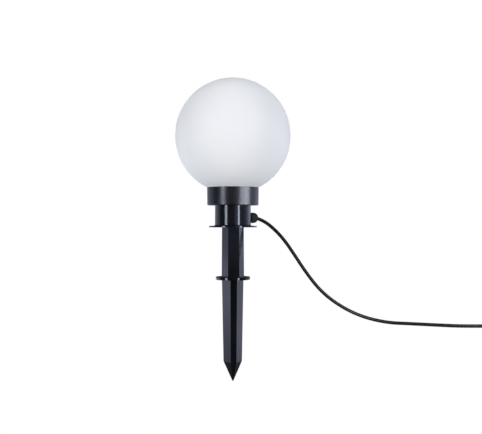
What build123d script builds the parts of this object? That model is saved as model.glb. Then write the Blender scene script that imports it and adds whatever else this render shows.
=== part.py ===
"""A garden globe light: an opal globe on a black base with a cable gland, held up by a ground stake.

Sizes are in millimetres. +Z is up and -Y is the front. The cable leaves on the +X side, pointing some
way back. The origin is on the stake's axis at the level of the ground that the loose cable lies on.
"""

from build123d import *
from math import asin, cos, hypot, pi, radians, sin, sqrt, tan
import os

os.makedirs("parts", exist_ok=True)

# ---- Driving dimensions --------------------------------------------------------------------------

# Clearances
sliding_gap = 0.15  # each side of a push fit
running_gap = 0.08  # radial, under the gland nut
thread_gap = 0.05  # radial, where a thread is screwed home
rubber_gap = 0.1  # radial, beside a rubber ring
parts_gap = 0.3  # between neighbours that only rest near each other

# Globe
globe_d = 200.0
globe_wall = 2.2
neck_d = 77.0
neck_depth = 26.0  # how far the neck reaches down into the collar

# Collar
collar_height = 30.95
collar_wall = 3.0  # at the bottom, outside the seal's bore
collar_taper = 0.35  # its radius grows this much towards the top
collar_floor = 3.0
collar_edge_fillet = 0.8
rim_fillet = 0.4
guide_gap = 0.65  # radial, round the neck below the seal's seat
seal_width = 2.95  # radial, from the neck to the bore
seal_height = 5.0
seal_below_rim = 14.0

# Base housing: barrel, flange and peg in one moulding
barrel_top_d = 62.0
barrel_bottom_d = 62.4
barrel_height = 35.9
barrel_wall = 2.8
barrel_foot_fillet = 1.6
flange_d = 83.2
flange_thickness = 2.35
flange_fillet = 0.5
flange_rise = 0.6  # the flange's top is slightly conical
housing_floor = 3.4
gasket_width = 1.2
gasket_thickness = 1.2
peg_length = 45.0
peg_wall = 2.6

# Stake
stake_turn = 5.0  # degrees that its front facet is turned towards +X
shaft_corners_top = 38.0  # the upper hexagon, across corners
shaft_corners_bottom = 39.0
shaft_length = 86.0
shaft_wall = 2.8
socket_spare = 5.0  # the socket is this much deeper than the peg is long
disc_d = 60.0
disc_thickness = 4.7
disc_fillet = 0.5
disc_above_ground = 86.6
spike_width_top = 37.5  # across the flats and corners, as seen from the front
spike_width_bottom = 32.2
spike_below_ground = 55.8  # to where the point begins
point_length = 34.0
point_width = 1.6
facet_share = 0.306  # of a wide and a narrow facet together, the narrow one's share
core_width_top = 20.0
core_width_bottom = 8.0
core_above_point = 14.0

# Cable gland
gland_turn = 33.0  # degrees that it points back from +X, with all that is in the base
gland_above_flange = 14.1
pad_d = 21.0
pad_proud = 0.1  # of the barrel's side at the gland's height
pad_thickness = 4.8
gland_thread_d = 12.0
gland_washer_thickness = 0.8
gland_flange_thickness = 4.0
gland_flats = 16.0
gland_nut_d = 18.5
gland_nut_length = 13.0
gland_fingers_d = 13.6
gland_fingers_wall = 1.6
gland_fingers_length = 7.0
locknut_flats = 16.0
locknut_thickness = 4.0
gland_inner_reach = 1.0  # the thread's end past the locknut
insert_length = 7.6
insert_setback = 1.8  # of its outer end from the fingers' ends
cord_setback = 11.0  # of the cord's stripped end from the thread's inner end
mouth_d = 10.0
mouth_rim = 0.9
mouth_length = 5.4

# Lampholder and its fixings
strap_height = 14.5  # of its bosses above the housing's floor
strap_thickness = 1.2
strap_width = 14.0
boss_d = 6.8
boss_to_wall = 1.3
collar_boss_d = 7.2
screw_shank_d = 2.6
screw_head_d = 5.6
screw_head_height = 2.0
strap_screw_length = 10.0
collar_screw_shank_d = 3.4
collar_screw_head_d = 6.4
collar_screw_head_height = 2.2
collar_screw_length = 14.0
head_to_holder = 0.7
holder_height = 50.0
holder_wall = 3.0
holder_base = 3.0
holder_lip_height = 6.2
holder_fillet = 2.0
nipple_d = 10.0
nipple_wall = 1.4
nipple_length = 10.2
nipple_nut_flats = 14.0
nipple_nut_thickness = 3.0
core_height = 9.8  # of the holder's core above its base
core_thickness = 6.0
terminal_width = 6.0
terminal_depth = 4.4
terminal_height = 4.0
terminal_offset = 6.5
terminal_screw_d = 2.2
terminal_screw_length = 2.2
sleeve_sheet = 0.4
contact_width = 5.0
contact_span = 13.0
contact_height = 3.4
contact_sheet = 0.5

# Bulb
bulb_length = 107.0
bulb_d = 60.0
bulb_wall = 1.5
cap_thread_d = 26.2
cap_thread_depth = 0.8
cap_thread_pitch = 3.629
cap_thread_turns = 4
cap_plain_length = 6.4
cap_sheet = 0.35
tip_d = 9.4
tip_height = 1.8
insulator_height = 3.6
board_thickness = 1.6
housing_share = 0.57  # of the bulb's length, up to where the diffuser begins
thread_play = 0.35  # radial, between the cap's and the sleeve's threads

# Wires and cord
wire_d = 1.8
wire_spacing = 3.2
cord_d = 6.2
coil_gap = 0.6  # between neighbouring turns
coil_outer_r = 47.0  # centreline of the outermost turn
coil_half_turns = 6  # inward half turns, before the one that climbs
coil_x = 480.0
cord_line_y = 8.0  # the cord runs into the coil along this line
coil_lead_in = 20.0
coil_lead_out = 8.0
tail_run = 17.0
tie_thickness = 1.0
tie_width = 12.0

# Plug
relief_length = 26.0
relief_end_d = 8.8
relief_root_d = 13.0
relief_rib_depth = 0.7
relief_ribs = 5
plug_grip_length = 26.0
plug_grip_width = 30.0
plug_grip_height = 25.0
plug_face_d = 36.0
plug_face_thickness = 12.0
plug_notch_depth = 3.2
plug_notch_width = 11.0
pin_d = 4.8
pin_length = 19.0
pin_spacing = 19.0
pin_root = 6.0
pin_root_d = 4.0
pin_neck = 0.3  # how far the thinner root shows at the face
pin_tip_fillet = 1.5

# ---- Levels and radii worked out from them -------------------------------------------------------

stake_top = disc_above_ground + disc_thickness + shaft_length
flange_top = stake_top + flange_thickness
barrel_foot = flange_top + flange_rise
barrel_top = flange_top + barrel_height
floor_top = stake_top + housing_floor
barrel_inner_r = min(barrel_top_d, barrel_bottom_d) / 2 - barrel_wall

collar_top = barrel_top + collar_height
neck_bottom = collar_top - neck_depth
globe_r = globe_d / 2
globe_inner_r = globe_r - globe_wall
neck_r = neck_d / 2
neck_inner_r = neck_r - globe_wall
collar_bore_r = neck_r + seal_width
guide_r = neck_r + guide_gap
collar_bottom_r = collar_bore_r + collar_wall
rim_r = collar_bottom_r + collar_taper
globe_z = collar_top + sliding_gap + sqrt(globe_r**2 - rim_r**2)
seal_seat = collar_top - seal_below_rim

gland_z = flange_top + gland_above_flange
barrel_slope = (barrel_top_d - barrel_bottom_d) / 2 / barrel_height
barrel_r_at_gland = barrel_bottom_d / 2 + barrel_slope * gland_above_flange
pad_x = barrel_r_at_gland + pad_proud
pad_inner_x = pad_x - pad_thickness
gland_flange_x = pad_x + gland_washer_thickness
gland_seat_x = gland_flange_x + gland_flange_thickness
gland_nut_x = gland_seat_x + parts_gap
gland_end_x = gland_nut_x + gland_nut_length
gland_inner_x = pad_inner_x - locknut_thickness - gland_inner_reach
fingers_end_x = gland_seat_x + gland_fingers_length
fingers_bore_r = gland_fingers_d / 2 - gland_fingers_wall
insert_x = fingers_end_x - insert_setback - insert_length
cord_start_x = gland_inner_x + cord_setback
cord_bore_r = cord_d / 2 + parts_gap

boss_x = barrel_inner_r - boss_d / 2 - boss_to_wall
collar_boss_x = barrel_inner_r - collar_boss_d / 2 + 2 * sliding_gap
strap_z = floor_top + strap_height
holder_z = strap_z + strap_thickness
holder_r = boss_x - screw_head_d / 2 - head_to_holder
holder_inner_r = holder_r - holder_wall
holder_top = holder_z + holder_height
holder_hole_r = holder_r + 5 * parts_gap
core_z = holder_z + holder_base + core_height
core_top = core_z + core_thickness
terminal_z = core_z - terminal_height
nipple_bottom = holder_z + holder_base + 1.0 - nipple_length

thread_r = cap_thread_d / 2
sleeve_r = thread_r + thread_play
tip_z = core_top + contact_height + parts_gap
insulator_z = tip_z + tip_height
cap_z = insulator_z + insulator_height
thread_top = cap_z + cap_thread_turns * cap_thread_pitch
cap_top = thread_top + cap_plain_length
bulb_r = bulb_d / 2
bulb_top = tip_z + bulb_length
board_z = tip_z + bulb_length * housing_share
bulb_centre_z = bulb_top - bulb_r
diffuser_foot_r = sqrt(bulb_r**2 - (bulb_centre_z - board_z) ** 2)

cord_r = cord_d / 2
coil_pitch = cord_d + coil_gap
coil_z = tie_thickness + parts_gap + cord_r
coil_inner_r = coil_outer_r - coil_half_turns * coil_pitch / 2
coil_y = cord_line_y - coil_outer_r
lower_z = coil_z
upper_z = coil_z + coil_pitch
tail_x = coil_x + coil_lead_out
plug_z = plug_face_d / 2
plug_x = tail_x + 3.2 * tail_run


# ---- Shared forms --------------------------------------------------------------------------------


def save(builder, name, turn=0.0):
    """Turns a finished piece about the lamp's axis, labels it and writes it to its own file."""
    builder.part.move(Location((0, 0, 0), (0, 0, turn)))
    builder.part.label = name
    export_step(builder.part, f"parts/{name}.step")


def sphere_height(radius, r):
    """How far a sphere's surface at distance r from its vertical axis is from its centre's level."""
    return sqrt(radius**2 - r**2)


def nearest(corners, x, y):
    """The sketch's corner nearest to (x, y)."""
    return corners.sort_by_distance((x, y))[0]


def pan_screw(shank_d, length, head_d, head_height):
    """A pan-head screw with a cross recess, its head's underside on z = 0."""
    with BuildPart() as screw:
        Cylinder(shank_d / 2, length, align=(Align.CENTER, Align.CENTER, Align.MAX))
        Cylinder(head_d / 2, head_height, align=(Align.CENTER, Align.CENTER, Align.MIN))
        fillet(screw.edges().sort_by(Axis.Z)[-1], head_height * 0.45)
        recess = head_height * 0.6
        with BuildSketch(Plane.XY.offset(head_height)):
            Rectangle(head_d * 0.55, head_d * 0.14)
            Rectangle(head_d * 0.14, head_d * 0.55)
        extrude(amount=-recess, mode=Mode.SUBTRACT)
    return screw.part


def thread_rings(crest_r, root_r):
    """Points (r, z) up the cap's thread, a crest and a root in turn, from its foot to its top."""
    steps = 2 * cap_thread_turns
    return [
        (crest_r if step % 2 == 0 else root_r, cap_z + step * cap_thread_pitch / 2)
        for step in range(steps + 1)
    ]


def stake_section(width):
    """A hexagon with wide and narrow sides in turn, width wide as seen from the front."""
    both = width / cos(radians(stake_turn))
    narrow = facet_share * both
    wide = both - narrow
    corner_r = hypot((wide + 2 * narrow) * sqrt(3) / 6, wide / 2)
    half_narrow = asin(narrow / 2 / corner_r)
    corners = []
    for facet in range(3):
        middle = radians(-90 + stake_turn + 120 * facet)
        for angle in (middle - half_narrow, middle + half_narrow):
            corners.append((corner_r * cos(angle), corner_r * sin(angle)))
    return Polygon(*corners, align=None)


def corner_radii(points):
    """The largest even bend at each corner of a route: 0.45 of its shorter run each way."""
    points = [Vector(*point) for point in points]
    radii = []
    for before, corner, after in zip(points, points[1:], points[2:]):
        arriving = corner - before
        leaving = after - corner
        half_turn = radians(arriving.get_angle(leaving)) / 2
        radii.append(0.45 * min(arriving.length, leaving.length) / tan(half_turn))
    return radii


def biarc(start, start_direction, end, end_direction):
    """Two tangent arcs from start to end that leave and arrive in the given directions."""
    start = Vector(*start)
    end = Vector(*end)
    leaving = Vector(*start_direction).normalized()
    arriving = Vector(*end_direction).normalized()
    across = end - start
    both = leaving + arriving
    a = 2 * (1 - leaving.dot(arriving))
    b = 2 * across.dot(both)
    c = -across.dot(across)
    reach = -c / b if abs(a) < 1e-9 else (-b + sqrt(b * b - 4 * a * c)) / (2 * a)
    near = start + leaving * reach
    far = end - arriving * reach
    joint = (near + far) * 0.5
    TangentArc(start, joint, tangent=leaving)
    TangentArc(joint, end, tangent=far - near)


# ---- Globe ---------------------------------------------------------------------------------------

with BuildPart() as globe:
    with BuildSketch(Plane.XZ):
        with BuildLine():
            outer_neck = (neck_r, globe_z - sphere_height(globe_r, neck_r))
            inner_neck = (neck_inner_r, globe_z - sphere_height(globe_inner_r, neck_inner_r))
            ThreePointArc((0, globe_z + globe_r), (globe_r, globe_z), outer_neck)
            Polyline(outer_neck, (neck_r, neck_bottom), (neck_inner_r, neck_bottom), inner_neck)
            ThreePointArc(inner_neck, (globe_inner_r, globe_z), (0, globe_z + globe_inner_r))
            Line((0, globe_z + globe_inner_r), (0, globe_z + globe_r))
        make_face()
    revolve(axis=Axis.Z)
save(globe, "globe")

# ---- Collar and what seals and holds it ----------------------------------------------------------

rim_slope = rim_r / sphere_height(globe_r, rim_r)
rim_inner_z = collar_top - (rim_r - collar_bore_r) * rim_slope

with BuildPart() as collar:
    with BuildSketch(Plane.XZ) as collar_profile:
        with BuildLine():
            Polyline(
                (holder_hole_r, barrel_top),
                (collar_bottom_r, barrel_top),
                (rim_r, collar_top),
                (collar_bore_r, rim_inner_z),
                (collar_bore_r, seal_seat),
                (guide_r, seal_seat),
                (guide_r, barrel_top + collar_floor),
                (holder_hole_r, barrel_top + collar_floor),
                close=True,
            )
        make_face()
        corners = collar_profile.vertices()
        fillet(nearest(corners, collar_bottom_r, barrel_top), collar_edge_fillet)
        fillet(nearest(corners, rim_r, collar_top), rim_fillet)
    revolve(axis=Axis.Z)
    with BuildSketch(Plane.XY.offset(barrel_top)):
        with PolarLocations(collar_boss_x, 3, start_angle=60):
            Circle(collar_screw_shank_d / 2 + sliding_gap)
    extrude(amount=collar_floor, mode=Mode.SUBTRACT)
save(collar, "collar", gland_turn)

with BuildPart() as globe_seal:
    with BuildSketch(Plane.XY.offset(seal_seat)):
        Circle(collar_bore_r - rubber_gap)
        Circle(neck_r + rubber_gap, mode=Mode.SUBTRACT)
    extrude(amount=seal_height)
    chamfer(globe_seal.edges().group_by(Axis.Z)[-1], (collar_bore_r - neck_r) / 5)
save(globe_seal, "globe_seal")

gasket_middle_r = barrel_top_d / 2 - barrel_wall / 2

with BuildPart() as collar_gasket:
    with BuildSketch(Plane.XY.offset(barrel_top - gasket_thickness)):
        Circle(gasket_middle_r + gasket_width / 2)
        Circle(gasket_middle_r - gasket_width / 2, mode=Mode.SUBTRACT)
    extrude(amount=gasket_thickness)
save(collar_gasket, "collar_gasket", gland_turn)

with BuildPart() as collar_screws:
    with Locations((0, 0, barrel_top + collar_floor)):
        with PolarLocations(collar_boss_x, 3, start_angle=60):
            add(
                pan_screw(
                    collar_screw_shank_d,
                    collar_screw_length,
                    collar_screw_head_d,
                    collar_screw_head_height,
                )
            )
save(collar_screws, "collar_screws", gland_turn)

# ---- Base housing --------------------------------------------------------------------------------

shaft_flats_top = shaft_corners_top * cos(radians(30))
socket_flats = shaft_flats_top - 2 * shaft_wall
peg_flats = socket_flats - 2 * sliding_gap
peg_turn = stake_turn - gland_turn  # within the base, before the base is turned

with BuildPart() as base_housing:
    with BuildSketch(Plane.XZ) as housing_profile:
        with BuildLine():
            Polyline(
                (0, stake_top),
                (flange_d / 2, stake_top),
                (flange_d / 2, flange_top),
                (barrel_bottom_d / 2, barrel_foot),
                (barrel_top_d / 2, barrel_top),
                (barrel_top_d / 2 - barrel_wall, barrel_top),
                (barrel_bottom_d / 2 - barrel_wall, floor_top),
                (0, floor_top),
                close=True,
            )
        make_face()
        corners = housing_profile.vertices()
        fillet(nearest(corners, barrel_bottom_d / 2, barrel_foot), barrel_foot_fillet)
        fillet(nearest(corners, flange_d / 2, flange_top), flange_fillet)
        fillet(nearest(corners, flange_d / 2, stake_top), flange_fillet)
    revolve(axis=Axis.Z)
    # The flat pad that the gland seals against, inside and out
    with BuildSketch(Plane.YZ.offset(pad_inner_x)):
        with Locations((0, gland_z)):
            Circle(pad_d / 2)
    extrude(amount=pad_thickness)
    with BuildSketch(Plane.YZ.offset(pad_x)):
        with Locations((0, gland_z)):
            Circle(pad_d / 2)
    extrude(amount=barrel_wall, mode=Mode.SUBTRACT)
    # Bosses for the lampholder's strap and for the collar's screws
    with BuildSketch(Plane.XY.offset(floor_top)):
        with PolarLocations(boss_x, 2, start_angle=90):
            Circle(boss_d / 2)
    extrude(amount=strap_height)
    with BuildSketch(Plane.XY.offset(floor_top)):
        with PolarLocations(collar_boss_x, 3, start_angle=60):
            Circle(collar_boss_d / 2)
    extrude(amount=barrel_top - floor_top)
    # The peg that fits the stake's socket, open below
    with BuildSketch(Plane.XY.offset(stake_top)):
        RegularPolygon(peg_flats / 2, 6, major_radius=False, rotation=peg_turn)
    extrude(amount=-peg_length)
    with BuildSketch(Plane.XY.offset(stake_top)):
        RegularPolygon(peg_flats / 2 - peg_wall, 6, major_radius=False, rotation=peg_turn)
    extrude(amount=-peg_length, mode=Mode.SUBTRACT)
    # Holes
    with BuildSketch(Plane.XY.offset(floor_top + strap_height)):
        with PolarLocations(boss_x, 2, start_angle=90):
            Circle(screw_shank_d / 2 + thread_gap)
    extrude(amount=-strap_screw_length, mode=Mode.SUBTRACT)
    with BuildSketch(Plane.XY.offset(barrel_top)):
        with PolarLocations(collar_boss_x, 3, start_angle=60):
            Circle(collar_screw_shank_d / 2 + thread_gap)
    extrude(amount=-collar_screw_length, mode=Mode.SUBTRACT)
    with BuildSketch(Plane.XY.offset(barrel_top)):
        Circle(gasket_middle_r + gasket_width / 2)
        Circle(gasket_middle_r - gasket_width / 2, mode=Mode.SUBTRACT)
    extrude(amount=-gasket_thickness, mode=Mode.SUBTRACT)
    with BuildSketch(Plane.YZ.offset(pad_inner_x)):
        with Locations((0, gland_z)):
            Circle(gland_thread_d / 2 + thread_gap)
    extrude(amount=pad_thickness, mode=Mode.SUBTRACT)
save(base_housing, "base_housing", gland_turn)

# ---- Cable gland ---------------------------------------------------------------------------------

gland_plane = Plane(origin=(0, 0, gland_z), x_dir=(0, 1, 0), z_dir=(1, 0, 0))

with BuildPart() as gland_washer:
    with BuildSketch(gland_plane.offset(pad_x)):
        Circle(gland_flats / 2)
        Circle(gland_thread_d / 2 + thread_gap, mode=Mode.SUBTRACT)
    extrude(amount=gland_washer_thickness)
save(gland_washer, "gland_washer", gland_turn)

with BuildPart() as gland_body:
    with BuildSketch(gland_plane.offset(gland_inner_x)):
        Circle(gland_thread_d / 2)
    extrude(amount=gland_flange_x - gland_inner_x)
    with BuildSketch(gland_plane.offset(gland_flange_x)):
        RegularPolygon(gland_flats / 2, 6, major_radius=False, rotation=30)
        Circle(gland_nut_d / 2, mode=Mode.INTERSECT)
    extrude(amount=gland_flange_thickness)
    with BuildSketch(gland_plane.offset(gland_seat_x)):
        Circle(gland_fingers_d / 2)
    extrude(amount=gland_fingers_length)
    with BuildSketch(gland_plane.offset(gland_inner_x)):
        Circle(cord_bore_r)
    extrude(amount=fingers_end_x - gland_inner_x, mode=Mode.SUBTRACT)
    with BuildSketch(gland_plane.offset(insert_x)):
        Circle(fingers_bore_r)
    extrude(amount=fingers_end_x - insert_x, mode=Mode.SUBTRACT)
save(gland_body, "gland_body", gland_turn)

with BuildPart() as gland_insert:
    with BuildSketch(gland_plane.offset(insert_x)):
        Circle(fingers_bore_r - rubber_gap)
        Circle(cord_r + rubber_gap, mode=Mode.SUBTRACT)
    extrude(amount=insert_length)
save(gland_insert, "gland_insert", gland_turn)

with BuildPart() as gland_locknut:
    with BuildSketch(gland_plane.offset(pad_inner_x - locknut_thickness)):
        RegularPolygon(locknut_flats / 2, 6, major_radius=False)
        Circle(gland_thread_d / 2 + thread_gap, mode=Mode.SUBTRACT)
    extrude(amount=locknut_thickness)
save(gland_locknut, "gland_locknut", gland_turn)

dome_r = gland_nut_d / 2
dome_rim_r = mouth_d / 2 + mouth_rim
dome_x = gland_end_x - sphere_height(dome_r, dome_rim_r)
dome_angle = (pi / 2 + asin(dome_rim_r / dome_r)) / 2
dome_mid = (dome_x + dome_r * cos(dome_angle), dome_r * sin(dome_angle))

with BuildPart() as gland_nut:
    with BuildSketch(Plane.XZ):
        with BuildLine():
            Polyline(
                (gland_end_x, mouth_d / 2),
                (gland_end_x - mouth_length, mouth_d / 2),
                (gland_end_x - mouth_length, gland_fingers_d / 2 + running_gap),
                (gland_nut_x, gland_fingers_d / 2 + running_gap),
                (gland_nut_x, dome_r),
                (dome_x, dome_r),
            )
            ThreePointArc((dome_x, dome_r), dome_mid, (gland_end_x, dome_rim_r))
            Line((gland_end_x, dome_rim_r), (gland_end_x, mouth_d / 2))
        make_face()
    revolve(axis=Axis.X)
    with BuildSketch(Plane.YZ.offset(gland_nut_x)):
        RegularPolygon(gland_flats / 2, 6, major_radius=False, rotation=30)
    extrude(amount=gland_nut_length, mode=Mode.INTERSECT)
gland_nut.part.position = (0, 0, gland_z)
save(gland_nut, "gland_nut", gland_turn)

# ---- Stake ---------------------------------------------------------------------------------------

disc_top = disc_above_ground + disc_thickness
socket_depth = peg_length + socket_spare
shaft_flats_bottom = shaft_corners_bottom * cos(radians(30))
core_top_z = stake_top - socket_depth
core_bottom_z = -spike_below_ground + core_above_point

with BuildPart() as stake:
    with BuildSketch(Plane.XY.offset(disc_top)):
        RegularPolygon(shaft_flats_bottom / 2, 6, major_radius=False, rotation=stake_turn)
    with BuildSketch(Plane.XY.offset(stake_top)):
        RegularPolygon(shaft_flats_top / 2, 6, major_radius=False, rotation=stake_turn)
    loft()
    with BuildSketch(Plane.XY.offset(-spike_below_ground)):
        stake_section(spike_width_bottom)
    with BuildSketch(Plane.XY.offset(disc_above_ground)):
        stake_section(spike_width_top)
    loft()
    with BuildSketch(Plane.XY.offset(-spike_below_ground - point_length)):
        stake_section(point_width)
    with BuildSketch(Plane.XY.offset(-spike_below_ground)):
        stake_section(spike_width_bottom)
    loft()
    with BuildPart(mode=Mode.PRIVATE) as disc:
        with BuildSketch(Plane.XY.offset(disc_above_ground)):
            Circle(disc_d / 2)
        extrude(amount=disc_thickness)
        rims = disc.edges().filter_by(GeomType.CIRCLE)
        fillet(rims, min(disc_fillet, 0.45 * disc_thickness))
    add(disc.part)
    # The socket for the peg, and the moulding core below it
    with BuildSketch(Plane.XY.offset(stake_top)):
        RegularPolygon(socket_flats / 2, 6, major_radius=False, rotation=stake_turn)
    extrude(amount=-socket_depth, mode=Mode.SUBTRACT)
    with BuildSketch(Plane.XY.offset(core_bottom_z)):
        RegularPolygon(core_width_bottom / 2, 6, major_radius=False, rotation=stake_turn)
    with BuildSketch(Plane.XY.offset(core_top_z)):
        RegularPolygon(core_width_top / 2, 6, major_radius=False, rotation=stake_turn)
    loft(mode=Mode.SUBTRACT)
save(stake, "stake")

# ---- Lampholder ----------------------------------------------------------------------------------

with BuildPart() as lampholder_strap:
    with BuildSketch(Plane.XY.offset(strap_z)):
        SlotCenterToCenter(2 * boss_x, boss_d, rotation=90)
        Rectangle(strap_width, 2 * boss_x - boss_d)
        with PolarLocations(boss_x, 2, start_angle=90):
            Circle(screw_shank_d / 2 + sliding_gap, mode=Mode.SUBTRACT)
        Circle(nipple_d / 2 + sliding_gap, mode=Mode.SUBTRACT)
    extrude(amount=strap_thickness)
save(lampholder_strap, "lampholder_strap", gland_turn)

with BuildPart() as strap_screws:
    with Locations((0, 0, holder_z)):
        with PolarLocations(boss_x, 2, start_angle=90):
            add(pan_screw(screw_shank_d, strap_screw_length, screw_head_d, screw_head_height))
save(strap_screws, "strap_screws", gland_turn)

with BuildPart() as lampholder_nipple:
    with BuildSketch(Plane.XY.offset(nipple_bottom)):
        Circle(nipple_d / 2)
        Circle(nipple_d / 2 - nipple_wall, mode=Mode.SUBTRACT)
    extrude(amount=nipple_length)
save(lampholder_nipple, "lampholder_nipple", gland_turn)

with BuildPart() as nipple_nut:
    with BuildSketch(Plane.XY.offset(strap_z - nipple_nut_thickness)):
        RegularPolygon(nipple_nut_flats / 2, 6, major_radius=False)
        Circle(nipple_d / 2 + thread_gap, mode=Mode.SUBTRACT)
    extrude(amount=nipple_nut_thickness)
save(nipple_nut, "nipple_nut", gland_turn)

lip_r = sleeve_r + sleeve_sheet + 3 * parts_gap

with BuildPart() as lampholder_body:
    with BuildSketch(Plane.XZ):
        with BuildLine():
            Polyline(
                (nipple_d / 2 + thread_gap, holder_z),
                (holder_r, holder_z),
                (holder_r, holder_top),
                (lip_r, holder_top),
                (lip_r, holder_top - holder_lip_height),
                (holder_inner_r, holder_top - holder_lip_height),
                (holder_inner_r, core_z),
                (holder_inner_r - holder_wall / 2, core_z),
                (holder_inner_r - holder_wall / 2, holder_z + holder_base),
                (nipple_d / 2 + thread_gap, holder_z + holder_base),
                close=True,
            )
        make_face()
    revolve(axis=Axis.Z)
    fillet(lampholder_body.edges().group_by(Axis.Z)[-1].sort_by(SortBy.RADIUS)[-1], holder_fillet)
save(lampholder_body, "lampholder_body", gland_turn)

with BuildPart() as lampholder_core:
    with BuildSketch(Plane.XY.offset(core_z)):
        Circle(holder_inner_r - sliding_gap)
    extrude(amount=core_thickness)
save(lampholder_core, "lampholder_core", gland_turn)

wire_hole_r = wire_d / 2 + sliding_gap

with BuildPart() as lampholder_terminals:
    with BuildSketch(Plane.XY.offset(terminal_z)):
        with PolarLocations(terminal_offset, 2, start_angle=90):
            Rectangle(terminal_depth, terminal_width)
            Circle(wire_hole_r, mode=Mode.SUBTRACT)
    extrude(amount=terminal_height)
    with BuildSketch(Plane.YZ.offset(terminal_width / 2)):
        with Locations(
            (-terminal_offset, terminal_z + terminal_height / 2),
            (terminal_offset, terminal_z + terminal_height / 2),
        ):
            Circle(terminal_screw_d / 2 + thread_gap)
    extrude(amount=-terminal_width / 2 + wire_hole_r, mode=Mode.SUBTRACT)
save(lampholder_terminals, "lampholder_terminals", gland_turn)

with BuildPart() as terminal_screws:
    with BuildSketch(Plane.YZ.offset(wire_hole_r)):
        with Locations(
            (-terminal_offset, terminal_z + terminal_height / 2),
            (terminal_offset, terminal_z + terminal_height / 2),
        ):
            Circle(terminal_screw_d / 2)
    extrude(amount=terminal_screw_length)
save(terminal_screws, "terminal_screws", gland_turn)

sleeve_rings = thread_rings(sleeve_r, sleeve_r - cap_thread_depth)
sleeve_outer = [(r + sleeve_sheet, z) for r, z in sleeve_rings]

with BuildPart() as lampholder_sleeve:
    with BuildSketch(Plane.XZ):
        with BuildLine():
            Polyline(
                (sleeve_r, core_top),
                *sleeve_rings,
                *reversed(sleeve_outer),
                (sleeve_r + sleeve_sheet, core_top),
                close=True,
            )
        make_face()
    revolve(axis=Axis.Z)
save(lampholder_sleeve, "lampholder_sleeve", gland_turn)

with BuildPart() as lampholder_contact:
    with BuildSketch(Plane.XZ.offset(-contact_width / 2)):
        with BuildLine():
            half = contact_span / 2
            arch = contact_height - contact_sheet
            Polyline((-half, core_top), (-half + contact_sheet, core_top))
            ThreePointArc(
                (-half + contact_sheet, core_top),
                (0, core_top + arch),
                (half - contact_sheet, core_top),
            )
            Line((half - contact_sheet, core_top), (half, core_top))
            ThreePointArc((half, core_top), (0, core_top + contact_height), (-half, core_top))
        make_face()
    extrude(amount=contact_width)
save(lampholder_contact, "lampholder_contact", gland_turn)

# ---- Bulb ----------------------------------------------------------------------------------------

with BuildPart() as bulb_contact:
    with BuildSketch(Plane.XY.offset(tip_z)):
        Circle(tip_d / 2)
    extrude(amount=tip_height)
    fillet(bulb_contact.edges().group_by(Axis.Z)[0], tip_height * 0.5)
save(bulb_contact, "bulb_contact")

cap_rings = thread_rings(thread_r, thread_r - cap_thread_depth)
cap_inner = [(r - cap_sheet, z) for r, z in cap_rings]

with BuildPart() as bulb_insulator:
    with BuildSketch(Plane.XZ):
        with BuildLine():
            Polyline(
                (0, insulator_z),
                (tip_d / 2, insulator_z),
                (thread_r - cap_sheet, cap_z),
                (0, cap_z),
                close=True,
            )
        make_face()
    revolve(axis=Axis.Z)
save(bulb_insulator, "bulb_insulator")

with BuildPart() as bulb_cap:
    with BuildSketch(Plane.XZ):
        with BuildLine():
            Polyline(
                *cap_rings,
                (thread_r, cap_top),
                (thread_r - cap_sheet, cap_top),
                *reversed(cap_inner),
                close=True,
            )
        make_face()
    revolve(axis=Axis.Z)
save(bulb_cap, "bulb_cap")

with BuildPart() as bulb_housing:
    with BuildSketch(Plane.XZ):
        with BuildLine():
            Polyline((0, cap_top), (thread_r + thread_play, cap_top))
            TangentArc(
                (thread_r + thread_play, cap_top), (diffuser_foot_r, board_z), tangent=(0.25, 1)
            )
            Polyline((diffuser_foot_r, board_z), (0, board_z), (0, cap_top))
        make_face()
    revolve(axis=Axis.Z)
save(bulb_housing, "bulb_housing")

diffuser_inner_r = bulb_r - bulb_wall
diffuser_inner_foot_r = sqrt(diffuser_inner_r**2 - (bulb_centre_z - board_z) ** 2)

with BuildPart() as bulb_diffuser:
    with BuildSketch(Plane.XZ):
        with BuildLine():
            ThreePointArc((0, bulb_top), (bulb_r, bulb_centre_z), (diffuser_foot_r, board_z))
            Line((diffuser_foot_r, board_z), (diffuser_inner_foot_r, board_z))
            ThreePointArc(
                (diffuser_inner_foot_r, board_z),
                (diffuser_inner_r, bulb_centre_z),
                (0, bulb_top - bulb_wall),
            )
            Line((0, bulb_top - bulb_wall), (0, bulb_top))
        make_face()
    revolve(axis=Axis.Z)
save(bulb_diffuser, "bulb_diffuser")

with BuildPart() as bulb_led_board:
    with BuildSketch(Plane.XY.offset(board_z)):
        Circle(diffuser_inner_foot_r - parts_gap)
    extrude(amount=board_thickness)
save(bulb_led_board, "bulb_led_board")

# ---- Wires inside the base -----------------------------------------------------------------------


def wire_route(side):
    """From the cord's stripped end, under the nipple, up through it and out to a terminal."""
    near = side * wire_spacing / 2
    far = side * terminal_offset
    low = nipple_bottom - 2.4 * wire_d
    return [
        (cord_start_x, near, gland_z),
        (holder_r - 2 * wire_d, near, gland_z),
        (nipple_d, near, low),
        (0, near, low),
        (0, near, holder_z + holder_base + 2 * wire_d),
        (0, far, terminal_z - wire_d),
        (0, far, terminal_z + terminal_height / 2 - terminal_screw_d),
    ]


for name, side in (("wire_live", 1), ("wire_neutral", -1)):
    route = wire_route(side)
    bends = [min(radius, 2.2 * wire_d) for radius in corner_radii(route)]
    with BuildPart() as wire:
        with BuildLine() as wire_line:
            FilletPolyline(*route, radius=bends)
        with BuildSketch(Plane(wire_line.line @ 0, z_dir=wire_line.line % 0)):
            Circle(wire_d / 2)
        sweep(path=wire_line.line)
    save(wire, name, gland_turn)

# ---- Cord: the stretch from the gland to the coil ------------------------------------------------

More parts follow.
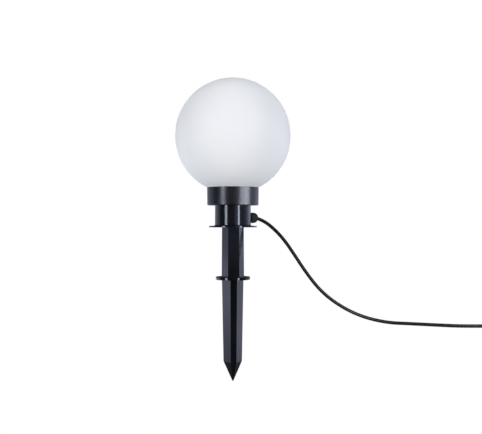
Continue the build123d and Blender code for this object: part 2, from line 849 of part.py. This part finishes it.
gland_way = Vector(cos(radians(gland_turn)), sin(radians(gland_turn)), 0)
cord_start = gland_way * cord_start_x + Vector(0, 0, gland_z)
cord_bend = gland_way * gland_end_x + Vector(0, 0, gland_z)

cord_route = [
    (cord_start.X, cord_start.Y, gland_z),
    (cord_bend.X, cord_bend.Y, gland_z),
    (57.7, 37.4, 186.5),
    (73.5, 47.7, 174.1),
    (90.6, 57.0, 156.3),
    (107.3, 65.0, 133.2),
    (133.1, 73.0, 93.9),
    (161.6, 78.0, 58.1),
    (197.2, 79.0, 31.0),
    (236.6, 74.0, 12.3),
    (279.9, 63.0, cord_r),
    (318.0, 50.0, cord_r),
    (358.0, 33.0, cord_r),
    (396.0, 18.0, cord_r),
    (432.0, cord_line_y, coil_z),
    (coil_x - coil_lead_in, cord_line_y, coil_z),
]
cord_radii = corner_radii(cord_route)
print("cord_lead radii:", [round(radius, 1) for radius in cord_radii])

with BuildPart() as cord_lead:
    with BuildLine() as lead_line:
        FilletPolyline(*cord_route, radius=cord_radii)
    with BuildSketch(Plane(lead_line.line @ 0, z_dir=lead_line.line % 0)):
        Circle(cord_r)
    sweep(path=lead_line.line)
save(cord_lead, "cord_lead")

# ---- Cord: the tied coil -------------------------------------------------------------------------

east = (1, 0, 0)
west = (-1, 0, 0)


def half_turn(y, z, radius, side):
    """Half a level turn, clockwise from above, from (coil_x, y): east about if side is 1."""
    centre = Vector(coil_x, y - side * radius, z)
    first = 90 * side
    plane = Plane(centre)
    for quarter in (0, 1):
        angles = [radians(first - 90 * quarter - step) for step in (0, 45, 90)]
        points = [plane.from_local_coords((radius * cos(a), radius * sin(a))) for a in angles]
        ThreePointArc(*points)
    return y - side * 2 * radius


with BuildPart() as cord_coil:
    with BuildLine() as coil_line:
        Line((coil_x - coil_lead_in, cord_line_y, lower_z), (coil_x, cord_line_y, lower_z))
        y = cord_line_y
        side = 1
        for half in range(coil_half_turns):
            y = half_turn(y, lower_z, coil_outer_r - half * coil_pitch / 2, side)
            side = -side
        # The innermost half turn climbs to the upper layer
        middle_y = y - side * coil_inner_r
        middle = (coil_x + side * coil_inner_r, middle_y, (lower_z + upper_z) / 2)
        climb = (0, -side, (upper_z - lower_z) / (pi * coil_inner_r) * 1.5)
        leaving, arriving = (east, west) if side > 0 else (west, east)
        biarc((coil_x, y, lower_z), leaving, middle, climb)
        y -= side * 2 * coil_inner_r
        biarc(middle, climb, (coil_x, y, upper_z), arriving)
        side = -side
        for half in range(coil_half_turns - 1, 0, -1):
            y = half_turn(y, upper_z, coil_outer_r - half * coil_pitch / 2, side)
            side = -side
        Line((coil_x, y, upper_z), (tail_x, y, upper_z))
    with BuildSketch(Plane(coil_line.line @ 0, z_dir=coil_line.line % 0)):
        Circle(cord_r)
    sweep(path=coil_line.line)
save(cord_coil, "cord_coil")

# ---- Cord: from the coil up to the plug ----------------------------------------------------------

tail_route = [
    (tail_x, cord_line_y, upper_z),
    (tail_x + tail_run, cord_line_y, upper_z),
    (plug_x - tail_run, cord_line_y, plug_z),
    (plug_x, cord_line_y, plug_z),
]
tail_radii = corner_radii(tail_route)
print("cord_tail radii:", [round(radius, 1) for radius in tail_radii])

with BuildPart() as cord_tail:
    with BuildLine() as tail_line:
        FilletPolyline(*tail_route, radius=tail_radii)
    with BuildSketch(Plane(tail_line.line @ 0, z_dir=tail_line.line % 0)):
        Circle(cord_r)
    sweep(path=tail_line.line)
save(cord_tail, "cord_tail")

section = pi * cord_r**2
lengths = []
for name, piece, path in (
    ("cord_lead", cord_lead, lead_line),
    ("cord_coil", cord_coil, coil_line),
    ("cord_tail", cord_tail, tail_line),
):
    length = path.wires()[0].length
    lengths.append(length)
    share = piece.part.volume / (section * length)
    print(f"{name}: {length:.0f} mm long, volume {share:.4f} of section times length")
print(f"cord: {sum(lengths):.0f} mm in all")

coil_wire = coil_line.wires()[0]
samples = int(coil_wire.length)
spots = [coil_wire @ (i / samples) for i in range(samples + 1)]
apart = int(3 * cord_d)
least = min(
    (spots[i] - spots[j]).length for i in range(len(spots)) for j in range(i + apart, len(spots))
)
print(f"cord_coil: least gap to itself {least - cord_d:.2f} mm")

# The tie goes round the six turns on the coil's west side
bundle_inner_r = coil_inner_r + coil_pitch / 2
bundle_outer_r = coil_outer_r - coil_pitch / 2
bundle_shift = tie_width / 2 + coil_pitch / 2
tie_inner_r = sqrt(bundle_inner_r**2 - bundle_shift**2) - cord_r - parts_gap
tie_outer_r = bundle_outer_r + cord_r + parts_gap
tie_window = tie_outer_r - tie_inner_r
tie_height = upper_z - lower_z + cord_d + 2 * parts_gap

with BuildPart() as cord_tie:
    with BuildSketch(Plane.XZ.offset(-coil_y - tie_width / 2)):
        with Locations((coil_x - (tie_inner_r + tie_outer_r) / 2, (lower_z + upper_z) / 2)):
            RectangleRounded(tie_window + 2 * tie_thickness, tie_height + 2 * tie_thickness, cord_r)
            RectangleRounded(tie_window, tie_height, cord_r / 2, mode=Mode.SUBTRACT)
    extrude(amount=tie_width)
save(cord_tie, "cord_tie")

# ---- Plug ----------------------------------------------------------------------------------------

plug_plane = Plane(origin=(0, cord_line_y, plug_z), x_dir=(0, 1, 0), z_dir=(1, 0, 0))
grip_x = plug_x + relief_length
face_x = grip_x + plug_grip_length
plug_end_x = face_x + plug_face_thickness

with BuildPart() as plug_body:
    # The strain relief, a ribbed taper
    with BuildSketch(plug_plane.offset(plug_x)):
        Circle(relief_end_d / 2)
    with BuildSketch(plug_plane.offset(grip_x)):
        Circle(relief_root_d / 2)
    loft(ruled=True)
    # The grip, which swells from the relief to the face
    with BuildSketch(plug_plane.offset(grip_x)):
        Ellipse(relief_root_d / 2 + relief_rib_depth, relief_root_d / 2 + relief_rib_depth)
    with BuildSketch(plug_plane.offset(face_x)):
        Ellipse(plug_grip_width / 2, plug_grip_height / 2)
    loft(ruled=True)
    with BuildSketch(plug_plane.offset(face_x)):
        Circle(plug_face_d / 2)
        with Locations((-plug_face_d / 2, 0), (plug_face_d / 2, 0)):
            Rectangle(2 * plug_notch_depth, plug_notch_width, mode=Mode.SUBTRACT)
    extrude(amount=plug_face_thickness)
    face_rim = plug_body.edges().filter_by(GeomType.CIRCLE)
    fillet(face_rim.filter_by(lambda e: abs(e.radius - plug_face_d / 2) < 0.01), 1.2)
    # Grooves between the relief's ribs
    for rib in range(relief_ribs):
        rib_x = plug_x + relief_length * (rib + 0.7) / (relief_ribs + 0.6)
        taper = (relief_root_d - relief_end_d) / relief_length
        groove_r = (relief_end_d + taper * (rib_x - plug_x)) / 2
        with BuildSketch(plug_plane.offset(rib_x)):
            Circle(groove_r + relief_rib_depth)
            Circle(groove_r - relief_rib_depth, mode=Mode.SUBTRACT)
        extrude(amount=relief_length / relief_ribs / 3, mode=Mode.SUBTRACT)
    with BuildSketch(plug_plane.offset(plug_end_x)):
        with Locations((-pin_spacing / 2, 0), (pin_spacing / 2, 0)):
            Circle(pin_root_d / 2 + thread_gap)
    extrude(amount=-pin_root, mode=Mode.SUBTRACT)
save(plug_body, "plug_body")

with BuildPart() as plug_pins:
    with BuildSketch(plug_plane.offset(plug_end_x - pin_root)):
        with Locations((-pin_spacing / 2, 0), (pin_spacing / 2, 0)):
            Circle(pin_root_d / 2)
    extrude(amount=pin_root + pin_neck)
    with BuildSketch(plug_plane.offset(plug_end_x + pin_neck)):
        with Locations((-pin_spacing / 2, 0), (pin_spacing / 2, 0)):
            Circle(pin_d / 2)
    extrude(amount=pin_length - pin_neck)
    fillet(plug_pins.edges().group_by(Axis.X)[-1], pin_tip_fillet)
save(plug_pins, "plug_pins")
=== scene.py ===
"""A garden globe light in a plain white studio, seen as in the photograph.

Lengths are in metres, but for the cord's route, in the model's frame: +Z is up, +X is the side where
the cord leaves, and the camera looks along +Y.
"""

from math import cos, pi, radians, sin

import bpy
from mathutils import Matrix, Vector


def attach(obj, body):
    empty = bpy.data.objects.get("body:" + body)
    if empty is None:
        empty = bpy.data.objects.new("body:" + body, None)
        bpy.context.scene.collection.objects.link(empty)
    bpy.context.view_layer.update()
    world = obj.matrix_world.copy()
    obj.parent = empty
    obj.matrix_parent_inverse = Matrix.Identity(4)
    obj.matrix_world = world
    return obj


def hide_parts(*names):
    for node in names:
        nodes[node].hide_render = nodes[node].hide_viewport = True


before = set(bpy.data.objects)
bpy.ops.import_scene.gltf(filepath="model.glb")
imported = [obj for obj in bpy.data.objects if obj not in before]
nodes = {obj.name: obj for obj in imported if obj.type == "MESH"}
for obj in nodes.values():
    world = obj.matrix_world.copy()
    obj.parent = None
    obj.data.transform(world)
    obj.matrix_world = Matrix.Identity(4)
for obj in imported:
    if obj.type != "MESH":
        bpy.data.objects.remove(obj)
scene = bpy.context.scene
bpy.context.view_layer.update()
MM = 0.001

# ---- The photograph's view -----------------------------------------------------------------------

PICTURE_W = 482  # pixels
PICTURE_H = 434
FOCAL_PX = 772.0
EYE_Z = 0.1869
EYE_X = 0.0141
EYE_DISTANCE = 1.3426
HORIZON_Y = 221.75  # the picture row at the eye's level

camera_data = bpy.data.cameras.new("camera")
camera_data.sensor_width = 36.0
camera_data.lens = FOCAL_PX / PICTURE_W * camera_data.sensor_width
camera_data.shift_y = (HORIZON_Y - PICTURE_H / 2) / PICTURE_W
camera_data.clip_end = 60.0
camera = bpy.data.objects.new("camera", camera_data)
camera.location = (EYE_X, -EYE_DISTANCE, EYE_Z)
camera.rotation_euler = (radians(90), 0, 0)
scene.collection.objects.link(camera)
scene.camera = camera

# ---- Materials -----------------------------------------------------------------------------------


FINE = 3.0  # a noise's detail, for colour and roughness
SOFT = 2.0  # for relief


class Tree:
    """A tree of shader nodes, and short ways to add to it."""

    def __init__(self, tree):
        self.tree = tree

    def node(self, kind, **values):
        """Adds a node and sets its sockets by name."""
        made = self.tree.nodes.new(kind)
        for socket, value in values.items():
            made.inputs[socket.replace("_", " ")].default_value = value
        return made

    def link(self, start, end):
        """Joins an output to an input."""
        self.tree.links.new(start, end)

    def math(self, operation, *values):
        """Works out a value from outputs and numbers."""
        made = self.node("ShaderNodeMath")
        made.operation = operation
        for socket, value in zip(made.inputs, values):
            if isinstance(value, float):
                socket.default_value = value
            else:
                self.link(value, socket)
        return made.outputs["Value"]

    def spread(self, value, low, high, start=0.3, end=0.7):
        """Maps start to end onto low to high. Their defaults are the middle of a noise's range."""
        made = self.node("ShaderNodeMapRange", From_Min=start, From_Max=end, To_Min=low, To_Max=high)
        self.link(value, made.inputs["Value"])
        return made.outputs["Result"]

    def mix(self, factor, first, second):
        """Mixes two colours."""
        made = self.node("ShaderNodeMix")
        made.data_type = "RGBA"
        made.inputs["A"].default_value = (*first, 1)
        made.inputs["B"].default_value = (*second, 1)
        self.link(factor, made.inputs["Factor"])
        return made.outputs["Result"]


class Look(Tree):
    """A material with its principled shader, and short ways to add texture to it."""

    def __init__(self, name, color, roughness, **values):
        self.material = bpy.data.materials.new(name)
        self.material.use_nodes = True
        super().__init__(self.material.node_tree)
        self.shader = self.tree.nodes["Principled BSDF"]
        self.shader.inputs["Base Color"].default_value = (*color, 1)
        self.shader.inputs["Roughness"].default_value = roughness
        for socket, value in values.items():
            self.shader.inputs[socket.replace("_", " ")].default_value = value
        self.place = self.node("ShaderNodeTexCoord").outputs["Object"]
        self.normal = None

    def noise(self, size, detail, stretch=(1, 1, 1)):
        """Noise with lumps of about this size."""
        mapping = self.node("ShaderNodeMapping", Scale=stretch)
        self.link(self.place, mapping.inputs["Vector"])
        noise = self.node("ShaderNodeTexNoise", Scale=1 / size, Detail=detail)
        self.link(mapping.outputs["Vector"], noise.inputs["Vector"])
        return noise.outputs["Fac"]

    def rough(self, size, low, high, stretch=(1, 1, 1)):
        """Varies the roughness over the surface."""
        lumps = self.noise(size, FINE, stretch)
        self.link(self.spread(lumps, low, high), self.shader.inputs["Roughness"])
        return self

    def tint(self, size, dark, light):
        """Varies the colour over the surface."""
        lumps = self.spread(self.noise(size, FINE), 0, 1)
        self.link(self.mix(lumps, dark, light), self.shader.inputs["Base Color"])
        return self

    def bump(self, size, height, stretch=(1, 1, 1)):
        """Adds relief with lumps of this size and height, over any relief there already is."""
        bump = self.node("ShaderNodeBump", Distance=height, Strength=1.0)
        self.link(self.noise(size, SOFT, stretch), bump.inputs["Height"])
        if self.normal:
            self.link(self.normal, bump.inputs["Normal"])
        self.normal = bump.outputs["Normal"]
        self.link(self.normal, self.shader.inputs["Normal"])
        return self


def wear(look, *names):
    """Gives CAD nodes this look on all their faces."""
    for name in names:
        mesh = nodes[name].data
        mesh.materials.clear()
        mesh.materials.append(look.material)


BLUISH = (0.78, 0.85, 1.0, 1.0)  # a blue tint painted into the reflections of the black plastics and rubber, for the bluish light they mirror

opal = Look("opal", (0.82, 0.83, 0.85), 0.55, Specular_IOR_Level=0.3)
opal.tint(0.08, (0.81, 0.825, 0.845), (0.825, 0.84, 0.86)).rough(0.02, 0.5, 0.6)
opal.bump(0.03, 0.00003)

gloss = Look("black_gloss", (0.004, 0.004, 0.005), 0.12, Specular_Tint=BLUISH)
gloss.tint(0.05, (0.0035, 0.0035, 0.0045), (0.005, 0.005, 0.0062)).rough(0.012, 0.08, 0.15)
gloss.bump(0.012, 0.00002).bump(0.0008, 0.000001)

satin = Look("black_satin", (0.006, 0.006, 0.0072), 0.3, Specular_Tint=BLUISH)
satin.tint(0.03, (0.005, 0.005, 0.0062), (0.007, 0.007, 0.0083)).rough(0.01, 0.27, 0.33)
satin.bump(0.0006, 0.000004)

gland_black = Look("gland_black", (0.012, 0.012, 0.014), 0.4, Specular_Tint=BLUISH, Specular_IOR_Level=0.2)
gland_black.tint(0.01, (0.01, 0.01, 0.012), (0.014, 0.014, 0.017)).rough(0.004, 0.34, 0.46)
gland_black.bump(0.0005, 0.000008)

rubber = Look("cord_rubber", (0.007, 0.007, 0.0085), 0.28, Specular_Tint=BLUISH, Specular_IOR_Level=0.25)
rubber.tint(0.015, (0.006, 0.006, 0.0075), (0.009, 0.009, 0.011)).rough(0.006, 0.24, 0.32)
rubber.bump(0.0007, 0.000004).bump(0.012, 0.00003)

seal_rubber = Look("seal_rubber", (0.012, 0.012, 0.013), 0.6)
seal_rubber.tint(0.004, (0.009, 0.009, 0.01), (0.018, 0.018, 0.019)).rough(0.002, 0.5, 0.7)
seal_rubber.bump(0.0004, 0.00001)

zinc = Look("zinc_steel", (0.62, 0.63, 0.65), 0.35, Metallic=1.0)
zinc.tint(0.004, (0.55, 0.56, 0.58), (0.68, 0.69, 0.7)).rough(0.003, 0.28, 0.45)
zinc.bump(0.0004, 0.000006, (1, 1, 6))

brass = Look("contact_brass", (0.78, 0.6, 0.3), 0.3, Metallic=1.0)
brass.tint(0.003, (0.7, 0.52, 0.24), (0.82, 0.65, 0.36)).rough(0.002, 0.22, 0.4)

cap_metal = Look("cap_aluminium", (0.78, 0.78, 0.8), 0.3, Metallic=1.0)
cap_metal.tint(0.004, (0.72, 0.72, 0.74), (0.82, 0.82, 0.84)).rough(0.003, 0.24, 0.4)

plated = Look("plated_pins", (0.8, 0.79, 0.77), 0.18, Metallic=1.0)
plated.tint(0.004, (0.74, 0.73, 0.71), (0.83, 0.82, 0.8)).rough(0.002, 0.12, 0.26, (6, 1, 1))

white_moulding = Look("white_moulding", (0.8, 0.8, 0.77), 0.4)
white_moulding.tint(0.01, (0.77, 0.77, 0.74), (0.83, 0.83, 0.8)).rough(0.005, 0.34, 0.46)

bulb_white = Look("bulb_white", (0.82, 0.82, 0.82), 0.3)
bulb_white.tint(0.02, (0.8, 0.8, 0.8), (0.84, 0.84, 0.84)).rough(0.006, 0.25, 0.36)

bulb_opal = Look("bulb_opal", (0.86, 0.86, 0.84), 0.4)
bulb_opal.tint(0.02, (0.84, 0.84, 0.81), (0.88, 0.88, 0.86)).rough(0.006, 0.34, 0.46)

insulator = Look("insulator_black", (0.01, 0.01, 0.012), 0.15)
insulator.tint(0.003, (0.008, 0.008, 0.01), (0.014, 0.014, 0.016)).rough(0.002, 0.1, 0.2)

wire_brown = Look("wire_brown", (0.16, 0.06, 0.025), 0.4)
wire_brown.tint(0.004, (0.14, 0.05, 0.02), (0.18, 0.07, 0.03)).rough(0.002, 0.34, 0.46)

wire_blue = Look("wire_blue", (0.02, 0.09, 0.36), 0.4)
wire_blue.tint(0.004, (0.015, 0.075, 0.32), (0.025, 0.105, 0.4)).rough(0.002, 0.34, 0.46)

tie_look = Look("tie_black", (0.012, 0.012, 0.013), 0.7)
tie_look.tint(0.0015, (0.008, 0.008, 0.009), (0.02, 0.02, 0.021)).rough(0.001, 0.6, 0.85)
tie_look.bump(0.0005, 0.00008, (1, 3, 1))

wear(opal, "globe")
wear(gloss, "base_housing", "stake")
wear(satin, "collar")
wear(gland_black, "gland_nut", "gland_body", "gland_locknut")
wear(rubber, "plug_body", "cord_lead", "cord_coil", "cord_tail")
wear(seal_rubber, "globe_seal", "collar_gasket", "gland_washer", "gland_insert")
wear(zinc, "collar_screws", "lampholder_strap", "strap_screws", "lampholder_nipple", "nipple_nut")
wear(zinc, "terminal_screws", "lampholder_sleeve")
wear(brass, "lampholder_terminals", "lampholder_contact", "bulb_contact")
wear(cap_metal, "bulb_cap", "bulb_led_board")
wear(plated, "plug_pins")
wear(white_moulding, "lampholder_body", "lampholder_core")
wear(bulb_white, "bulb_housing")
wear(bulb_opal, "bulb_diffuser")
wear(insulator, "bulb_insulator")
wear(wire_brown, "wire_live")
wear(wire_blue, "wire_neutral")
wear(tie_look, "cord_tie")

# ---- Cord ----------------------------------------------------------------------------------------

# This section's lengths are in millimetres
GLAND_Z = 193.75
GLAND_TURN = radians(33)  # that it points back from +X
GLAND_END = 49.3  # along the gland's axis, from the lamp's
CORD_START = 32.4  # along the same line
CORD_STRAIGHT = 4.0  # keeps the cord's start in line with the gland
CORD_D = 6.2
CORD_R = CORD_D / 2
COIL_X = 480.0  # the middle of the coil
CORD_LINE_Y = 8.0  # the cord runs into and out of the coil along this line
COIL_R = 47.0  # of its outermost half turn
COIL_PITCH = 6.8  # from one turn to the next, outwards and upwards
LOWER_Z = 4.4
UPPER_Z = LOWER_Z + COIL_PITCH
PLUG_X = 542.4
PLUG_Z = 18.0
HALF_TURNS = 6  # on the way in, before the innermost one
POINTS_PER_HALF = 12


def along_gland(distance):
    """The point on the gland's axis at this distance from the lamp's."""
    return (distance * cos(GLAND_TURN), distance * sin(GLAND_TURN), GLAND_Z)


# From inside the gland to the coil
lead = [
    along_gland(CORD_START),
    along_gland(CORD_START + CORD_STRAIGHT),
    along_gland(GLAND_END),
    (57.7, 37.4, 186.5),
    (73.5, 47.7, 174.1),
    (90.6, 57.0, 156.3),
    (107.3, 65.0, 133.2),
    (133.1, 73.0, 93.9),
    (161.6, 78.0, 58.1),
    (197.2, 79.0, 31.0),
    (236.6, 74.0, 12.3),
    (279.9, 63.0, CORD_R),
    (318.0, 50.0, CORD_R),
    (358.0, 33.0, CORD_R),
    (396.0, 18.0, CORD_R),
    (432.0, CORD_LINE_Y, LOWER_Z),
    (460.0, CORD_LINE_Y, LOWER_Z),
    (474.0, CORD_LINE_Y, LOWER_Z),
]


def half_turn(y, radius, side, start_z, end_z):
    """Control points of half a turn, clockwise from above, and where it ends."""
    reach = radius / cos(pi / POINTS_PER_HALF / 2)
    centre_y = y - side * radius
    points = []
    for step in range(POINTS_PER_HALF):
        share = (step + 0.5) / POINTS_PER_HALF
        angle = side * pi / 2 - share * pi
        z = start_z + (end_z - start_z) * share
        points.append((COIL_X + reach * cos(angle), centre_y + reach * sin(angle), z))
    return points, y - 2 * side * radius


coil = []
y = CORD_LINE_Y
side = 1
radii = [COIL_R - half * COIL_PITCH / 2 for half in range(HALF_TURNS + 1)]
for half, radius in enumerate(radii + radii[-2:0:-1]):
    start_z = LOWER_Z if half <= HALF_TURNS else UPPER_Z
    end_z = LOWER_Z if half < HALF_TURNS else UPPER_Z
    points, y = half_turn(y, radius, side, start_z, end_z)
    coil += points
    side = -side

# From the coil up to the plug
tail = [
    (486.0, CORD_LINE_Y, UPPER_Z),
    (505.0, CORD_LINE_Y, UPPER_Z),
    (525.4, CORD_LINE_Y, PLUG_Z),
    (PLUG_X, CORD_LINE_Y, PLUG_Z),
]

cord_data = bpy.data.curves.new("cord", "CURVE")
cord_data.dimensions = "3D"
spline = cord_data.splines.new("NURBS")
route = lead + coil + tail
spline.points.add(len(route) - 1)
for point, spot in zip(spline.points, route):
    point.co = (*(value * MM for value in spot), 1)
spline.order_u = 3
spline.use_endpoint_u = True
spline.resolution_u = 6
cord_data.bevel_depth = CORD_R * MM
cord_data.bevel_resolution = 6
cord_data.use_fill_caps = True
cord_data.materials.append(rubber.material)
cord = bpy.data.objects.new("cord", cord_data)
scene.collection.objects.link(cord)
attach(cord, "head")
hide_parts("cord_lead", "cord_coil", "cord_tail")

# ---- Studio --------------------------------------------------------------------------------------

FLOOR_Z = -0.152  # below the stake's tip, also when the stake is pulled off
FLOOR_HALF = 6.0
WHITE = (1, 1, 1)
FLOOR_LIGHT = (0.9, 0.95, 1.13)  # slightly blue, as the black surfaces mirror it in the photograph
WORLD_LIGHT = (0.88, 0.94, 1.15)

floor_mesh = bpy.data.meshes.new("floor")
signs = [(-1, -1), (1, -1), (1, 1), (-1, 1)]
corners = [(x * FLOOR_HALF, y * FLOOR_HALF, FLOOR_Z) for x, y in signs]
floor_mesh.from_pydata(corners, [], [(0, 1, 2, 3)])
floor = bpy.data.objects.new("floor", floor_mesh)

# The camera sees the floor white. What the lamp mirrors of it is dim, and glows more towards the back
# and the left, but for a darker lane from front to back through the lamp
floor_look = Look("floor", (0.05, 0.05, 0.05), 0.9, Emission_Color=(*FLOOR_LIGHT, 1))
floor_place = floor_look.node("ShaderNodeSeparateXYZ")
floor_look.link(floor_look.place, floor_place.inputs["Vector"])
across = floor_place.outputs["X"]
away = floor_place.outputs["Y"]
backward = floor_look.spread(away, low=0.03, high=0.95, start=-0.3, end=0.6)
leftward = floor_look.spread(across, low=1.35, high=0.8, start=-1.0, end=1.0)
lane = floor_look.spread(floor_look.math("ABSOLUTE", across), low=0.15, high=1.0, start=0.12, end=0.4)
glow = floor_look.math("MULTIPLY", floor_look.math("MULTIPLY", backward, leftward), lane)
floor_look.link(glow, floor_look.shader.inputs["Emission Strength"])
pale = floor_look.node("ShaderNodeEmission", Color=(*WHITE, 1), Strength=1.0)
seen_floor = floor_look.node("ShaderNodeMixShader")
to_camera = floor_look.node("ShaderNodeLightPath").outputs["Is Camera Ray"]
floor_look.link(to_camera, seen_floor.inputs["Fac"])
floor_look.link(floor_look.shader.outputs["BSDF"], seen_floor.inputs[1])
floor_look.link(pale.outputs["Emission"], seen_floor.inputs[2])
floor_look.link(seen_floor.outputs["Shader"], floor_look.tree.nodes["Material Output"].inputs["Surface"])
floor_mesh.materials.append(floor_look.material)
scene.collection.objects.link(floor)

# Round the lamp, from straight behind by the left, the front and the right: (azimuth, brightness)
SURROUNDINGS = [
    (-180, 0.1),
    (-165, 0.15),
    (-150, 0.7),
    (-108, 0.8),
    (-92, 0.5),
    (-84, 0.12),
    (-60, 0.12),
    (-30, 0.14),
    (8, 0.22),
    (30, 1.3),
    (36, 0.7),
    (46, 0.4),
    (76, 0.4),
    (96, 0.8),
    (120, 1.3),
    (135, 1.3),
    (152, 0.75),
    (166, 0.15),
    (180, 0.1),
]
BRIGHTEST = 2.0  # what the ramp's white stands for

world = bpy.data.worlds.new("studio")
scene.world = world
world.use_nodes = True
sky = Tree(world.node_tree)
background = sky.tree.nodes["Background"]
direction = sky.node("ShaderNodeSeparateXYZ")
sky.link(sky.node("ShaderNodeTexCoord").outputs["Generated"], direction.inputs["Vector"])
forward = sky.math("MULTIPLY", direction.outputs["Y"], -1.0)
bearing = sky.math("ARCTAN2", direction.outputs["X"], forward)
ramp = sky.node("ShaderNodeValToRGB")
stops = ramp.color_ramp.elements
while len(stops) < len(SURROUNDINGS):
    stops.new(0.5)
# All the stops get their places before any gets its brightness
for stop, (azimuth, brightness) in zip(stops, SURROUNDINGS):
    stop.position = (azimuth + 180) / 360
for stop, (azimuth, brightness) in zip(stops, SURROUNDINGS):
    stop.color = (*[brightness / BRIGHTEST] * 3, 1)
sky.link(sky.spread(bearing, low=0, high=1, start=-pi, end=pi), ramp.inputs["Fac"])
around = sky.math("MULTIPLY", ramp.outputs["Color"], BRIGHTEST)
# Darker overhead than round the horizon
overhead = sky.spread(direction.outputs["Z"], low=1.0, high=0.25, start=0.045, end=0.08)
level = sky.math("MULTIPLY", around, overhead)
# The camera sees the world white, as it does the floor
world_to_camera = sky.node("ShaderNodeLightPath").outputs["Is Camera Ray"]
sky.link(sky.math("MAXIMUM", level, world_to_camera), background.inputs["Strength"])
sky.link(sky.mix(world_to_camera, WORLD_LIGHT, WHITE), background.inputs["Color"])


def soft_light(name, azimuth, distance, height, width, length, power, aim):
    """A rectangle of light that faces aim, round from the camera's side by azimuth."""
    data = bpy.data.lights.new(name, "AREA")
    data.shape = "RECTANGLE"
    data.size = width
    data.size_y = length
    data.energy = power
    lamp = bpy.data.objects.new(name, data)
    turn = radians(azimuth)
    lamp.location = (distance * sin(turn), -distance * cos(turn), height)
    lamp.rotation_euler = (Vector(aim) - lamp.location).to_track_quat("-Z", "Y").to_euler()
    scene.collection.objects.link(lamp)
    return lamp


def shine_on(lamp, lit):
    """Lets a lamp light these objects only, with nothing in the way but the globe and its collar."""
    only = bpy.data.collections.new(f"{lamp.name}_only")
    for piece in lit:
        only.objects.link(piece)
    lamp.light_linking.receiver_collection = only
    neighbours = bpy.data.collections.new(f"{lamp.name}_neighbours")
    for neighbour in ("globe", "collar"):
        neighbours.objects.link(nodes[neighbour])
    lamp.light_linking.blocker_collection = neighbours


LAMP_MIDDLE = (0, 0, 0.2)
GLOBE_MIDDLE = (0, 0, 0.336)
CORD_MIDDLE = (0.15, 0.05, 0.12)
GLOBE = [nodes["globe"]]
COLLAR = [nodes["collar"]]
CORD_SIDE = [cord, nodes["gland_nut"]]
ALL = []

# Name, azimuth in degrees, distance, height, width, length, watts, what it faces and what it lights
LIGHTS = [
    ("left_strip", -43.5, 1.6, 0.35, 0.42, 1.3, 15, LAMP_MIDDLE, ALL),
    ("right_strip", 39, 1.6, 0.35, 0.26, 1.3, 13, LAMP_MIDDLE, ALL),
    ("overhead", 0, 0.3, 2.4, 2.2, 2.2, 8, LAMP_MIDDLE, ALL),
    ("collar_light", 62, 1.6, 0.2, 0.85, 1.3, 38, LAMP_MIDDLE, COLLAR),
    ("globe_fill", 0, 2.2, -2.1, 1.6, 1.6, 34, GLOBE_MIDDLE, GLOBE),
    ("globe_top", 0, 0.1, 2.4, 1.2, 1.2, 13, GLOBE_MIDDLE, GLOBE),
    ("globe_left", -105, 1.6, 0.34, 1.0, 1.0, 2.6, GLOBE_MIDDLE, GLOBE),
    ("globe_right", 105, 1.6, 0.34, 1.0, 1.0, 5, GLOBE_MIDDLE, GLOBE),
    ("cord_light", 8, 1.5, 0.5, 0.7, 0.7, 22, CORD_MIDDLE, CORD_SIDE),
]
for *placing, lit in LIGHTS:
    lamp = soft_light(*placing)
    if lit:
        shine_on(lamp, lit)

scene.view_settings.view_transform = "Standard"
